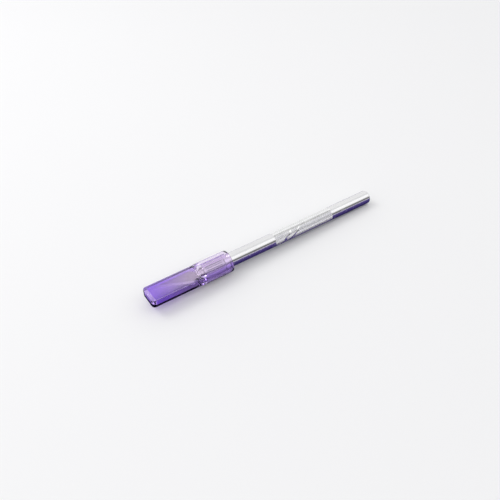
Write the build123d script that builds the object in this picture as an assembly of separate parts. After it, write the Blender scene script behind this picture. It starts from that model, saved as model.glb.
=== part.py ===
from build123d import *
from math import hypot
import os

# A pocket craft knife with its safety cap on, all in millimetres.
# The knife lies along X: x = 0 is the flat rear end of the handle and the blade points to +X.
# The blade lies flat in the XY plane, its spine on the -Y side.  +Z is up.

# ---------------------------------------------------------------- handle
handle_d = 8.0
handle_length = 104.2
handle_end_round = 1.0
handle_front_chamfer = 0.3
grip_start = 29.7
grip_length = 41.0
grip_depth = 0.25

# ---------------------------------------------------------------- chuck: sleeve and collet
sleeve_length = 12.95
sleeve_chamfer = 0.35
sleeve_flutes = 24
sleeve_flute_depth = 0.25
sleeve_flute_margin = 1.4
thread_d = 4.0
thread_length = 11.0
thread_bore_extra = 3.0
shank_d = 5.0
shank_setback = 1.0
nose_d = 6.4
nose_reach = 2.5
nose_round = 1.2
cone_length = 4.2
jaw_slot_length = 13.0
jaw_bore_d = 1.6
jaw_relief_d = 1.2
collet_travel = 0.5

# ---------------------------------------------------------------- blade
blade_thickness = 0.5
blade_width = 9.2
blade_reach = 24.7
edge_length_x = 19.7
heel_slope_length = 2.4
spine_slope_length = 1.6
tang_width = 4.4
tang_length = 9.5
tang_slot_length = 4.0
tang_slot_width = 1.5
tang_slot_setback = 2.0
bevel_width = 1.5
edge_thickness = 0.06

# ---------------------------------------------------------------- safety cap
cap_sleeve_length = 20.0
cap_sleeve_wall = 1.4
cap_rim_round = 0.5
cap_front_chamfer = 0.5
rib_count = 6
rib_width = 0.8
rib_least_height = 0.5
rib_lead_in = 0.8
sheath_side_wall = 1.2
sheath_face_wall = 1.2
sheath_end_wall = 2.2
sheath_corner_r = 2.0
sheath_edge_round = 0.5
pocket_corner_r = 0.8

# ---------------------------------------------------------------- clearances
running = 0.05            # radial gap of each turning or sliding fit
seat_gap = 0.05           # axial gap between two pieces that seat on each other
nose_clearance = 0.3      # radial, collet nose in the cap
nose_end_clearance = 0.2  # axial, collet nose in the cap with the chuck opened
blade_bore_clearance = 0.25
blade_side_clearance = 0.4
blade_face_clearance = 1.05
blade_tip_clearance = 3.4

# ---------------------------------------------------------------- stations along X
handle_r = handle_d / 2
grip_end = grip_start + grip_length
sleeve_rear = handle_length + seat_gap
sleeve_front = sleeve_rear + sleeve_length
nose_front = sleeve_front + nose_reach
cone_rear = sleeve_front - cone_length
shank_rear = handle_length + shank_setback
thread_rear = handle_length - thread_length
jaw_slot_rear = nose_front - jaw_slot_length
blade_tip_x = nose_front + blade_reach
heel_x = blade_tip_x - edge_length_x
tang_rear = nose_front - tang_length
cap_shoulder = sleeve_front + seat_gap
cap_step = nose_front + collet_travel + nose_end_clearance
cap_rear = cap_step - cap_sleeve_length
pocket_end = blade_tip_x + blade_tip_clearance
cap_tip = pocket_end + sheath_end_wall

# ---------------------------------------------------------------- sizes that follow
rib_crest_r = handle_r + running
blade_passage_r = hypot(blade_width, blade_thickness) / 2 + blade_bore_clearance
cap_bore_r = max(blade_passage_r, rib_crest_r + rib_least_height)
cap_sleeve_r = cap_bore_r + cap_sleeve_wall
nose_hole_r = nose_d / 2 + nose_clearance
nose_chamfer = nose_round / 2
pocket_width = blade_width + 2 * blade_side_clearance
pocket_height = blade_thickness + 2 * blade_face_clearance
sheath_width = pocket_width + 2 * sheath_side_wall
sheath_height = pocket_height + 2 * sheath_face_wall


def turned(*outline):
    """Solid of revolution about X from points (x, radius), closed along the axis."""
    points = [(outline[0][0], 0), *outline, (outline[-1][0], 0)]
    return revolve(make_face(Polyline(*points, close=True)), Axis.X)


def rod(x_start, x_end, radius):
    """Round bar on the X axis."""
    return Plane.YZ.offset(x_start) * extrude(Circle(radius), x_end - x_start)


def ring_edges(solid, x, radius):
    """Circular edges of the solid at one station and radius."""
    near = solid.edges().filter_by(GeomType.CIRCLE)
    return near.filter_by(lambda e: abs(e.arc_center.X - x) < 1e-4 and abs(e.radius - radius) < 1e-4)


def make_handle():
    """One turned bar: rounded rear end, sunk grip band for the knurl, tapped bore in front."""
    grip_r = handle_r - grip_depth
    bar = turned(
        (0, handle_r),
        (grip_start, handle_r),
        (grip_start + grip_depth, grip_r),
        (grip_end - grip_depth, grip_r),
        (grip_end, handle_r),
        (handle_length - handle_front_chamfer, handle_r),
        (handle_length, handle_r - handle_front_chamfer),
    )
    bar = fillet(ring_edges(bar, 0, handle_r), handle_end_round)
    bore_r = thread_d / 2 + running
    return bar - rod(thread_rear - thread_bore_extra, handle_length, bore_r)


def make_chuck_sleeve():
    """Ring that turns on the collet's shank and closes the jaws with its tapered mouth."""
    ring = turned(
        (sleeve_rear, handle_r - sleeve_chamfer),
        (sleeve_rear + sleeve_chamfer, handle_r),
        (sleeve_front - sleeve_chamfer, handle_r),
        (sleeve_front, handle_r - sleeve_chamfer),
    )
    mouth = turned(
        (sleeve_rear, shank_d / 2 + running),
        (cone_rear, shank_d / 2 + running),
        (sleeve_front, nose_d / 2 + running),
    )
    flute = Polyline(
        (0, handle_r - sleeve_flute_depth),
        (sleeve_flute_depth, handle_r + sleeve_flute_depth / 2),
        (-sleeve_flute_depth, handle_r + sleeve_flute_depth / 2),
        close=True,
    )
    flute_start = sleeve_rear + sleeve_flute_margin
    flute_length = sleeve_length - 2 * sleeve_flute_margin
    flute_bar = Plane.YZ.offset(flute_start) * extrude(make_face(flute), flute_length)
    flutes = [Rot(X=360 * n / sleeve_flutes) * flute_bar for n in range(sleeve_flutes)]
    return ring - mouth - flutes


def make_collet():
    """Threaded tail, shank, cone and rounded nose, split into four jaws by crossed slots."""
    body = turned(
        (thread_rear, thread_d / 2),
        (shank_rear, thread_d / 2),
        (shank_rear, shank_d / 2),
        (cone_rear, shank_d / 2),
        (sleeve_front, nose_d / 2),
        (nose_front, nose_d / 2),
    )
    body = fillet(ring_edges(body, nose_front, nose_d / 2), nose_round)
    slot_centre = (jaw_slot_rear + nose_front) / 2
    blade_slot = Pos(X=slot_centre) * Box(jaw_slot_length, nose_d, blade_thickness)
    relief = Pos(X=jaw_slot_rear) * Cylinder(jaw_relief_d / 2, nose_d)
    jaw_bore = rod(jaw_slot_rear, nose_front, jaw_bore_d / 2)
    cross = [Rot(X=90) * blade_slot, relief, Rot(X=90) * relief]
    return body - blade_slot - cross - jaw_bore


def make_blade():
    """Flat pointed blade: straight spine, slanting ground edge, necked tang with a slot."""
    half = blade_width / 2
    heel = Vector(heel_x, half)
    tip = Vector(blade_tip_x, -half)
    tang_half = tang_width / 2
    outline = Polyline(
        (tang_rear, -tang_half),
        (heel_x - heel_slope_length - spine_slope_length, -tang_half),
        (heel_x - heel_slope_length, -half),
        (tip.X, tip.Y),
        (heel.X, heel.Y),
        (heel_x - heel_slope_length, tang_half),
        (tang_rear, tang_half),
        close=True,
    )
    plate = extrude(make_face(outline), blade_thickness / 2, both=True)

    # The grind: a wedge runs along the edge on each face and leaves a thin cutting edge.
    run = tip - heel
    slope = (blade_thickness - edge_thickness) / 2 / bevel_width
    over = bevel_width / 2
    wedge = Polyline(
        (bevel_width, blade_thickness / 2),
        (-over, edge_thickness / 2 - over * slope),
        (-over, blade_thickness),
        (bevel_width, blade_thickness),
        close=True,
    )
    inward = Vector(-run.Y, run.X).normalized()
    if inward.dot(Vector(-1, 0)) < 0:
        inward = inward * -1
    across = Plane(origin=heel - run * 0.5, x_dir=inward, z_dir=run.normalized())
    grind = across * extrude(make_face(wedge), run.length * 2)
    plate -= [grind, mirror(grind, Plane.XY)]

    slot_x = tang_rear + tang_slot_setback + tang_slot_length / 2
    slot = Pos(X=slot_x) * SlotOverall(tang_slot_length, tang_slot_width)
    return plate - extrude(slot, blade_thickness, both=True)


def make_cap():
    """Round sleeve with grip ribs inside, stepped down to a flat hollow sheath."""
    tube = rod(cap_rear, cap_step, cap_sleeve_r)
    tube = fillet(ring_edges(tube, cap_rear, cap_sleeve_r), cap_rim_round)
    tube = chamfer(ring_edges(tube, cap_step, cap_sleeve_r), cap_front_chamfer)

    sheath_root = (cap_shoulder + cap_step) / 2
    sheath_length = cap_tip - sheath_root
    sheath = Pos(X=sheath_root + sheath_length / 2) * Box(sheath_length, sheath_width, sheath_height)
    tip_corners = sheath.edges().filter_by(Axis.Z).sort_by(Axis.X)[-2:]
    sheath = fillet(tip_corners, sheath_corner_r)
    rims = sheath.faces().sort_by(Axis.Z)
    sheath = fillet(rims[0].edges() + rims[-1].edges(), sheath_edge_round)

    pocket_length = pocket_end - cap_shoulder
    pocket = Pos(X=cap_shoulder + pocket_length / 2) * Box(pocket_length, pocket_width, pocket_height)
    pocket = fillet(pocket.edges().filter_by(Axis.Z).sort_by(Axis.X)[-2:], pocket_corner_r)

    bore = rod(cap_rear, cap_shoulder, cap_bore_r)
    nose_hole = rod(cap_shoulder, cap_step, nose_hole_r)
    nose_hole = chamfer(ring_edges(nose_hole, cap_step, nose_hole_r), nose_chamfer)

    rib_length = cap_shoulder - cap_rear - rib_lead_in
    rib_height = cap_bore_r - rib_crest_r + cap_sleeve_wall / 2
    rib = Pos(X=cap_rear + rib_lead_in + rib_length / 2, Z=rib_crest_r + rib_height / 2)
    rib_bar = rib * Box(rib_length, rib_width, rib_height)
    ribs = [Rot(X=360 * n / rib_count) * rib_bar for n in range(rib_count)]
    grip_circle = rod(cap_rear, cap_shoulder, rib_crest_r)
    lead_in = turned(
        (cap_rear, rib_crest_r + 2 * rib_lead_in),
        (cap_rear + 2 * rib_lead_in, rib_crest_r),
    )
    ribbed = tube + sheath - bore - nose_hole - pocket + ribs
    return ribbed - grip_circle - lead_in


pieces = {
    "handle": make_handle(),
    "chuck_sleeve": make_chuck_sleeve(),
    "collet": make_collet(),
    "blade": make_blade(),
    "safety_cap": make_cap(),
}

os.makedirs("parts", exist_ok=True)
for name, piece in pieces.items():
    export_step(piece, f"parts/{name}.step")
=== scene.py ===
from math import cos, pi, radians, sin, tan, tau

import bpy
from mathutils import Matrix, Vector


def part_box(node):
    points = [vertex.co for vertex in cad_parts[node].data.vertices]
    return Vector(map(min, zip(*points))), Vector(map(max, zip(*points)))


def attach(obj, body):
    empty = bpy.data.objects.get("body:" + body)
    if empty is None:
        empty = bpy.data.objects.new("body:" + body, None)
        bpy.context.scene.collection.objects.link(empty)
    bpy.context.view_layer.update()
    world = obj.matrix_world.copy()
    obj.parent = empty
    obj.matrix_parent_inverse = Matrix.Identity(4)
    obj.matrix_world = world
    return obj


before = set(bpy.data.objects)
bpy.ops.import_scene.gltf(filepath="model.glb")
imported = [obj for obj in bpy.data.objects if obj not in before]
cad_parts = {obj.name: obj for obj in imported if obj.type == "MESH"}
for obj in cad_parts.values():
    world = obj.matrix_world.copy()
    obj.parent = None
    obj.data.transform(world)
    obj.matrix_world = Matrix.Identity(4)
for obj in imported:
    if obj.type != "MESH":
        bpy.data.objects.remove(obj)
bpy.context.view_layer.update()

# A pocket craft knife with its tinted safety cap on.  Metres throughout.
# The knife lies along X: x = 0 is the flat rear end, the blade points to +X and lies flat.

MM = 0.001

# ------------------------------------------------------------------ sizes read from the frame
_, handle_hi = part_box("handle")
_, cap_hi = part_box("safety_cap")
blade_lo, blade_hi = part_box("blade")
_, collet_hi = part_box("collet")

HANDLE_R = handle_hi.z
CAP_STEP = collet_hi.x        # the round part of the cap ends just ahead of the collet's nose
BLADE_T = blade_hi.z - blade_lo.z

# ------------------------------------------------------------------ the knurl
# It fills a band sunk into the handle by the depth of the knurl.
GRIP_START = 29.7 * MM
GRIP_LENGTH = 41.0 * MM
KNURL_DEPTH = 0.25 * MM
KNURL_SEAT = 0.035 * MM       # the grooves stop this far above the sunk band
KNURL_POINTS_ROUND = 28
KNURL_HELIX = radians(30)
KNURL_FLAT = 0.34             # share of each point that is left flat on top

# Two plain lands wind across the knurl.  Each has a start, the angle round the handle
# where it has that start, and its advance along the handle per radian.
LANDS = ((54.3 * MM, radians(45), 5.96 * MM), (61.2 * MM, radians(36), 4.98 * MM))
LAND_FLAT = 0.97
LAND_HALF = 0.8 * MM
LAND_TURN = (radians(-40), radians(62))

# ------------------------------------------------------------------ where the knife lies
# It rests on the lower edge of the butt and on the lower rear rim of the cap, so it dips
# towards the handle by a little over a degree.
REST_BUTT = -4.0 * MM
REST_DIP = 0.0226

# ------------------------------------------------------------------ camera
CAMERA_PLACE = Vector((221.8, 213.0, 231.8)) * MM
CAMERA_TARGET = Vector((82.8, -5.1, -5.0)) * MM
CAMERA_ROLL = radians(-1.7)
CAMERA_LENS = 44.0
CAMERA_NEAREST = 0.01

# ------------------------------------------------------------------ floor and light
FLOOR_REACH = 4.0
KEY_PLACE = Vector((0.55, -0.55, 0.8))
KEY_TARGET = Vector((0.075, 0, 0))
KEY_SIZE = (0.5, 0.5)
KEY_POWER = 2.6

# The tent's brightness by the angle round the knife: 0 degrees is level on the near side,
# 90 is overhead and 180 is level on the far side.
TENT_STRENGTH = 1.12
TENT_COOLNESS = 1.01
TENT_LEVELS = (
    (0, 0.24), (9, 0.15), (16, 0.1), (26, 0.3), (36, 0.85),
    (46, 1.0), (66, 1.0), (88, 0.72), (114, 0.82), (180, 0.8),
)

# The shadow card lies on the floor, under the knife and in front of it. Only reflections see it: it
# paints a reflected shadow into the lower side of the handle.
SHADOW_CARD_X = (-40 * MM, 190 * MM)
SHADOW_CARD_Y = (-20 * MM, 80 * MM)
SHADOW_CARD_FADE_Y = (8 * MM, 50 * MM)
SHADOW_CARD_LIFT = 0.05 * MM


# ================================================================== shader writing
class Signal:
    """A shader value.  Ordinary arithmetic on it adds the Math nodes."""

    def __init__(self, nodes, socket):
        self.nodes = nodes
        self.socket = socket

    def _maths(self, operation, *terms):
        settings = {"operation": operation}
        return self.nodes.node("ShaderNodeMath", settings, dict(enumerate(terms)))["Value"]

    def __add__(self, other):
        return self._maths("ADD", self, other)

    def __radd__(self, other):
        return self._maths("ADD", other, self)

    def __sub__(self, other):
        return self._maths("SUBTRACT", self, other)

    def __rsub__(self, other):
        return self._maths("SUBTRACT", other, self)

    def __mul__(self, other):
        return self._maths("MULTIPLY", self, other)

    def __rmul__(self, other):
        return self._maths("MULTIPLY", other, self)

    def __abs__(self):
        return self._maths("ABSOLUTE", self)

    def sine(self):
        return self._maths("SINE", self)

    def root(self):
        return self._maths("SQRT", self)

    def angle_above(self, level):
        """The angle of a direction that rises by this value over that one."""
        return self._maths("ARCTAN2", self, level)

    def ramp(self, low, high):
        """0 below low, 1 above high, and a smooth step between."""
        settings = {"interpolation_type": "SMOOTHSTEP"}
        inputs = {"Value": self, "From Min": low, "From Max": high}
        return self.nodes.node("ShaderNodeMapRange", settings, inputs)["Result"]


def lay_stops(ramp, interpolation, stops):
    """Give a colour ramp its stops, each a position and a colour."""
    ramp.interpolation = interpolation
    while len(ramp.elements) < len(stops):
        ramp.elements.new(0.5)
    for element, (position, tint) in zip(ramp.elements, stops):
        element.position = position
        element.color = tint


class Nodes:
    """The nodes of one finish, or of the tent of light."""

    def __init__(self, tree):
        self.tree = tree
        self.tree.nodes.clear()

    def node(self, kind, settings=None, inputs=None):
        """Add a node: its settings first, then the values or links of its sockets."""
        made = self.tree.nodes.new(kind)
        for name, value in (settings or {}).items():
            if name == "stops":
                lay_stops(made.color_ramp, *value)
            else:
                setattr(made, name, value)
        for name, value in (inputs or {}).items():
            if isinstance(value, Signal):
                self.tree.links.new(value.socket, made.inputs[name])
            else:
                made.inputs[name].default_value = value
        return {s.name: Signal(self, s) for s in made.outputs if s.enabled}


class Finish(Nodes):
    """One material, written as expressions."""

    def __init__(self, name):
        self.material = bpy.data.materials.new(name)
        self.material.use_nodes = True
        super().__init__(self.material.node_tree)
        self.place = None

    def spot(self):
        """The point being shaded, in the knife's own frame."""
        if self.place is None:
            self.place = self.node("ShaderNodeTexCoord")["Object"]
        return self.place

    def split(self):
        parts = self.node("ShaderNodeSeparateXYZ", inputs={"Vector": self.spot()})
        return parts["X"], parts["Y"], parts["Z"]

    def join(self, x, y, z):
        return self.node("ShaderNodeCombineXYZ", inputs={"X": x, "Y": y, "Z": z})["Vector"]

    def scaled(self, vector, by):
        settings = {"operation": "MULTIPLY"}
        return self.node("ShaderNodeVectorMath", settings, {0: vector, 1: by})["Vector"]

    def noise(self, vector, scale, detail=3.0, rough=0.55):
        inputs = {"Vector": vector, "Scale": scale, "Detail": detail, "Roughness": rough}
        return self.node("ShaderNodeTexNoise", {"noise_dimensions": "3D"}, inputs)["Fac"]

    def blend(self, share, first, second):
        """Colour that goes from first to second."""
        settings = {"data_type": "RGBA", "blend_type": "MIX"}
        return self.node("ShaderNodeMix", settings, {0: share, 6: first, 7: second})["Result"]

    def relief(self, height, depth, below=None):
        """Bump, its depth in metres, over another bump if there is one."""
        inputs = {"Height": height, "Strength": 1.0, "Distance": depth}
        if below is not None:
            inputs["Normal"] = below
        return self.node("ShaderNodeBump", inputs=inputs)["Normal"]

    def surface(self, **inputs):
        """The finished material, from the sockets of the main shader."""
        named = {name.replace("_", " "): value for name, value in inputs.items()}
        shader = self.node("ShaderNodeBsdfPrincipled", inputs=named)["BSDF"]
        self.node("ShaderNodeOutputMaterial", inputs={"Surface": shader})
        return self.material


def colour(red, green, blue):
    return (red, green, blue, 1.0)


def from_axis(y, z):
    """Distance from the knife's axis."""
    return (y * y + z * z).root()


def hairlines(finish, along, spread, threshold):
    """Sparse fine scratches that run mostly one way: 1 in a scratch, 0 elsewhere."""
    streaks = finish.noise(finish.scaled(finish.spot(), along), spread, 2.0, 0.4)
    return streaks.ramp(threshold, threshold + 0.03)


# ================================================================== finishes
def polished_handle():
    """Turned and polished bar: faint tool rings, hairlines from use, skin marks."""
    f = Finish("polished_handle")
    x, y, z = f.split()
    rings = f.noise(f.join(x, from_axis(y, z), 0.0), 5200.0, 2.0, 0.6)
    slow = f.noise(f.spot(), 75.0, 3.0)
    touch = f.noise(f.spot(), 420.0, 4.0).ramp(0.45, 0.7)
    marks = hairlines(f, (0.25, 3.0, 3.0), 900.0, 0.66)
    tint = f.blend(slow, colour(0.83, 0.83, 0.84), colour(0.9, 0.895, 0.89))
    tint = f.blend(marks * 0.25, tint, colour(0.55, 0.55, 0.56))
    gloss = 0.11 + 0.07 * slow + 0.06 * touch + 0.12 * marks
    shape = f.relief(rings, 0.0012 * MM)
    shape = f.relief(marks * -1.0, 0.002 * MM, shape)
    return f.surface(Base_Color=tint, Metallic=1.0, Roughness=gloss, Normal=shape)


def knurled_metal():
    """The same bar where the knurl is rolled in: bright worn points, and rougher grooves darkened
    by painted shade.
    """
    f = Finish("knurled_metal")
    x, y, z = f.split()
    crest = from_axis(y, z).ramp(HANDLE_R - KNURL_DEPTH, HANDLE_R - 0.2 * KNURL_DEPTH)
    grain = f.noise(f.spot(), 5200.0, 3.0, 0.6)
    groove_mottle = f.noise(f.spot(), 190.0, 3.0)
    # Painted shade: the grooves get a darker colour, mottled at random, that stands in for the
    # shade between the points.
    shaded_groove = f.blend(groove_mottle, colour(0.62, 0.62, 0.63), colour(0.8, 0.8, 0.8))
    tint = f.blend(crest, shaded_groove, colour(0.97, 0.97, 0.965))
    gloss = 0.27 - 0.13 * crest + 0.06 * groove_mottle
    shape = f.relief(grain, 0.004 * MM)
    return f.surface(Base_Color=tint, Metallic=1.0, Roughness=gloss, Normal=shape)


def turned_chuck():
    """Satin turned ring: regular tool rings and worn flute edges."""
    f = Finish("turned_chuck")
    x, y, z = f.split()
    rings = (x * (tau / (0.18 * MM))).sine()
    wear = from_axis(y, z).ramp(HANDLE_R - 0.25 * MM, HANDLE_R - 0.02 * MM)
    slow = f.noise(f.spot(), 240.0, 3.0)
    tint = f.blend(wear, colour(0.6, 0.6, 0.61), colour(0.82, 0.82, 0.82))
    gloss = 0.38 - 0.1 * wear + 0.08 * slow
    shape = f.relief(rings, 0.002 * MM)
    return f.surface(Base_Color=tint, Metallic=1.0, Roughness=gloss, Normal=shape)


def plated_collet():
    """Nickel over brass, with the brass warming the worn edges of the jaws."""
    f = Finish("plated_collet")
    slow = f.noise(f.spot(), 320.0, 3.0)
    worn = f.noise(f.spot(), 1400.0, 3.0).ramp(0.6, 0.75)
    marks = hairlines(f, (0.3, 2.0, 2.0), 1600.0, 0.64)
    tint = f.blend(worn * 0.4, colour(0.74, 0.73, 0.71), colour(0.78, 0.68, 0.48))
    tint = f.blend(marks * 0.5, tint, colour(0.5, 0.49, 0.48))
    gloss = 0.16 + 0.1 * slow + 0.12 * marks
    shape = f.relief(slow, 0.01 * MM)
    return f.surface(Base_Color=tint, Metallic=1.0, Roughness=gloss, Normal=shape)


def blade_steel():
    """Rolled strip with a ground edge: long rolling lines, cross-ground bevel, a film of oil."""
    f = Finish("blade_steel")
    x, y, z = f.split()
    flat = abs(z).ramp(BLADE_T / 2 - 0.012 * MM, BLADE_T / 2 - 0.003 * MM)
    rolling = f.noise(f.scaled(f.spot(), (1.0, 22.0, 1.0)), 420.0, 3.0, 0.6)
    grinding = f.noise(f.join(x * 9.0 + y * 4.0, y * 0.6 - x * 0.3, 0.0), 1500.0, 2.0, 0.6)
    film = f.noise(f.spot(), 210.0, 4.0)
    body = f.blend(rolling, colour(0.58, 0.57, 0.55), colour(0.74, 0.73, 0.7))
    body = f.blend(film.ramp(0.55, 0.8) * 0.35, body, colour(0.5, 0.45, 0.38))
    edge = f.blend(grinding, colour(0.72, 0.72, 0.71), colour(0.88, 0.88, 0.87))
    tint = f.blend(flat, edge, body)
    gloss = 0.2 + 0.12 * rolling + 0.1 * flat + 0.06 * film
    shape = f.relief(flat * rolling + (1.0 - flat) * grinding, 0.004 * MM)
    return f.surface(Base_Color=tint, Metallic=1.0, Roughness=gloss, Normal=shape)


def tinted_plastic():
    """Clear violet moulded plastic, deeper in colour towards the tip, with painted shade
    deepening it at the sides: slow flow ripples, hairlines and a little handling haze."""
    f = Finish("tinted_plastic")
    x, y, z = f.split()
    flow = f.noise(f.scaled(f.spot(), (0.5, 1.0, 1.0)), 190.0, 2.0, 0.4)
    haze = f.noise(f.spot(), 330.0, 4.0).ramp(0.5, 0.8)
    marks = hairlines(f, (0.4, 2.0, 2.0), 800.0, 0.67)
    towards_tip = x.ramp(CAP_STEP, cap_hi.x)
    painted_edge_shade = abs(y).ramp(0.7 * cap_hi.y, 0.98 * cap_hi.y)
    tint = f.blend(haze * 0.5, colour(0.9, 0.81, 0.98), colour(0.92, 0.84, 0.985))
    tint = f.blend(towards_tip, tint, colour(0.62, 0.45, 0.96))
    # Painted shade: the sides of the cap get a deeper, darker violet that stands in for the dark
    # edges that refraction gives.
    tint = f.blend(painted_edge_shade * 0.9, tint, colour(0.5, 0.32, 0.95))
    gloss = 0.03 + 0.05 * haze + 0.1 * marks
    shape = f.relief(flow, 0.05 * MM)
    shape = f.relief(marks * -1.0, 0.003 * MM, shape)
    return f.surface(
        Base_Color=tint,
        Roughness=gloss,
        Normal=shape,
        IOR=1.49,
        Transmission_Weight=1.0,
    )


def pale_floor():
    """Matt board that mirrors nothing."""
    f = Finish("pale_floor")
    tone = f.noise(f.spot(), 3.0, 2.0)
    tint = f.blend(tone, colour(0.86, 0.86, 0.865), colour(0.88, 0.88, 0.88))
    return f.surface(Base_Color=tint, Roughness=0.55, Specular_IOR_Level=0.0)


def shadow_card_finish():
    """Matt violet card seen only in reflections: a painted reflection of a violet mat, with painted
    shadow making it darkest where the knife lies.
    """
    f = Finish("shadow_card")
    x, y, z = f.split()
    # Painted shadow: darkest under and beside the knife, fading to a lighter violet further out.
    tint = f.blend(y.ramp(*SHADOW_CARD_FADE_Y), colour(0.04, 0.022, 0.17), colour(0.24, 0.17, 0.42))
    return f.surface(Base_Color=tint, Roughness=0.9)


# ================================================================== the knurled grip
def new_piece(name, points, faces, material):
    """A flat-shaded mesh of one material."""
    mesh = bpy.data.meshes.new(name)
    mesh.from_pydata(points, [], faces)
    mesh.materials.append(material)
    mesh.polygons.foreach_set("use_smooth", [False] * len(mesh.polygons))
    mesh.update()
    piece = bpy.data.objects.new(name, mesh)
    bpy.context.scene.collection.objects.link(piece)
    return piece


def on_land(x, angle):
    """Whether a knurl point, by its place along and round the handle, is in a plain land."""
    low, high = LAND_TURN
    turn = (angle + pi) % tau - pi
    if not low < turn < high:
        return False
    return any(abs(x - start - (origin - turn) * lead) < LAND_HALF for start, origin, lead in LANDS)


def grip_knurl(material):
    """Rows of truncated diamond points between two crossing sets of helical grooves."""
    step_round = pi / KNURL_POINTS_ROUND
    pitch_along = step_round * HANDLE_R / tan(KNURL_HELIX)
    rows = 2 * round(GRIP_LENGTH / pitch_along / 2)
    step_along = GRIP_LENGTH / rows
    groove_r = HANDLE_R - KNURL_DEPTH + KNURL_SEAT
    points, faces = [], []

    def point(column, row, radius):
        angle = column * step_round
        x = GRIP_START + row * step_along
        points.append((x, radius * cos(angle), radius * sin(angle)))
        return len(points) - 1

    for row in range(rows + 1):
        for column in range(row % 2 + 1, 2 * KNURL_POINTS_ROUND + 1, 2):
            spread = ((-1, 0), (0, -1), (1, 0), (0, 1))
            spread = [(c, r) for c, r in spread if 0 <= row + r <= rows]
            foot = [point(column + c, row + r, groove_r) for c, r in spread]
            plain_here = on_land(GRIP_START + row * step_along, column * step_round)
            flat = LAND_FLAT if plain_here else KNURL_FLAT
            top = [point(column + c * flat, row + r * flat, HANDLE_R) for c, r in spread]
            count = len(foot)
            for k in range(count):
                n = (k + 1) % count
                faces.append((foot[k], foot[n], top[n], top[k]))
            faces.append(tuple(top))
    piece = new_piece("grip_knurl", points, faces, material)
    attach(piece, "handle")
    return piece


# ================================================================== stage
def aim(thing, place, target, roll=0.0):
    """Put a camera or light at a place, looking at a target."""
    back = (place - target).normalized()
    right = Vector((0, 0, 1)).cross(back).normalized()
    up = back.cross(right)
    turn = Matrix((right, up, back)).transposed().to_4x4()
    thing.matrix_world = Matrix.Translation(place) @ turn @ Matrix.Rotation(roll, 4, "Z")


def make_camera():
    camera = bpy.data.objects.new("camera", bpy.data.cameras.new("camera"))
    camera.data.lens = CAMERA_LENS
    camera.data.clip_start = CAMERA_NEAREST
    bpy.context.scene.collection.objects.link(camera)
    aim(camera, CAMERA_PLACE, CAMERA_TARGET, CAMERA_ROLL)
    bpy.context.scene.camera = camera


def lying_sheet(name, across_x, across_y, lift, material):
    """A flat rectangle that lies on the plane the knife rests on, or a little above it."""
    (x0, x1), (y0, y1) = across_x, across_y
    corners = []
    for x, y in ((x0, y0), (x1, y0), (x1, y1), (x0, y1)):
        corners.append((x, y, REST_BUTT - REST_DIP * x + lift))
    return new_piece(name, corners, [(0, 1, 2, 3)], material)


def make_floor(material):
    reach = (-FLOOR_REACH, FLOOR_REACH)
    floor = lying_sheet("floor", reach, reach, 0.0, material)


def make_shadow_card(material):
    """A dark strip under the knife that only its reflections see: painted shadow and a painted
    reflection of a violet mat for the lower side of the handle.
    """
    shadow_card = lying_sheet("shadow_card", SHADOW_CARD_X, SHADOW_CARD_Y, SHADOW_CARD_LIFT, material)
    shadow_card.visible_camera = False
    shadow_card.visible_diffuse = False
    shadow_card.visible_transmission = False
    shadow_card.visible_shadow = False


def make_tent():
    """Soft light all along the knife, with one brighter strip and one dark one near its front."""
    world = bpy.data.worlds.new("studio")
    bpy.context.scene.world = world
    world.use_nodes = True
    tent = Nodes(world.node_tree)
    heading = tent.node("ShaderNodeTexCoord")["Generated"]
    parts = tent.node("ShaderNodeSeparateXYZ", inputs={"Vector": heading})
    angle = parts["Z"].angle_above(parts["Y"])
    share = tent.node("ShaderNodeMapRange", inputs={"Value": angle, "From Max": pi})["Result"]
    stops = [(a / 180, colour(level, level, level * TENT_COOLNESS)) for a, level in TENT_LEVELS]
    ramp = tent.node("ShaderNodeValToRGB", {"stops": ("EASE", stops)}, {"Fac": share})
    shining = {"Color": ramp["Color"], "Strength": TENT_STRENGTH}
    backdrop = tent.node("ShaderNodeBackground", inputs=shining)["Background"]
    tent.node("ShaderNodeOutputWorld", inputs={"Surface": backdrop})


def make_key():
    """One soft rectangle of light from the far side, ahead of the tip."""
    lamp = bpy.data.lights.new("key", "AREA")
    lamp.shape = "RECTANGLE"
    lamp.size, lamp.size_y = KEY_SIZE
    lamp.energy = KEY_POWER
    light = bpy.data.objects.new("key", lamp)
    bpy.context.scene.collection.objects.link(light)
    light.visible_camera = False
    aim(light, KEY_PLACE, KEY_TARGET)


# ================================================================== build
make_camera()

finishes = {
    "handle": polished_handle(),
    "chuck_sleeve": turned_chuck(),
    "collet": plated_collet(),
    "blade": blade_steel(),
    "safety_cap": tinted_plastic(),
}
for node, finish in finishes.items():
    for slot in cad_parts[node].material_slots:
        slot.material = finish

grip_knurl(knurled_metal())
make_floor(pale_floor())
make_shadow_card(shadow_card_finish())
make_tent()
make_key()
bpy.context.scene.view_settings.view_transform = "Standard"
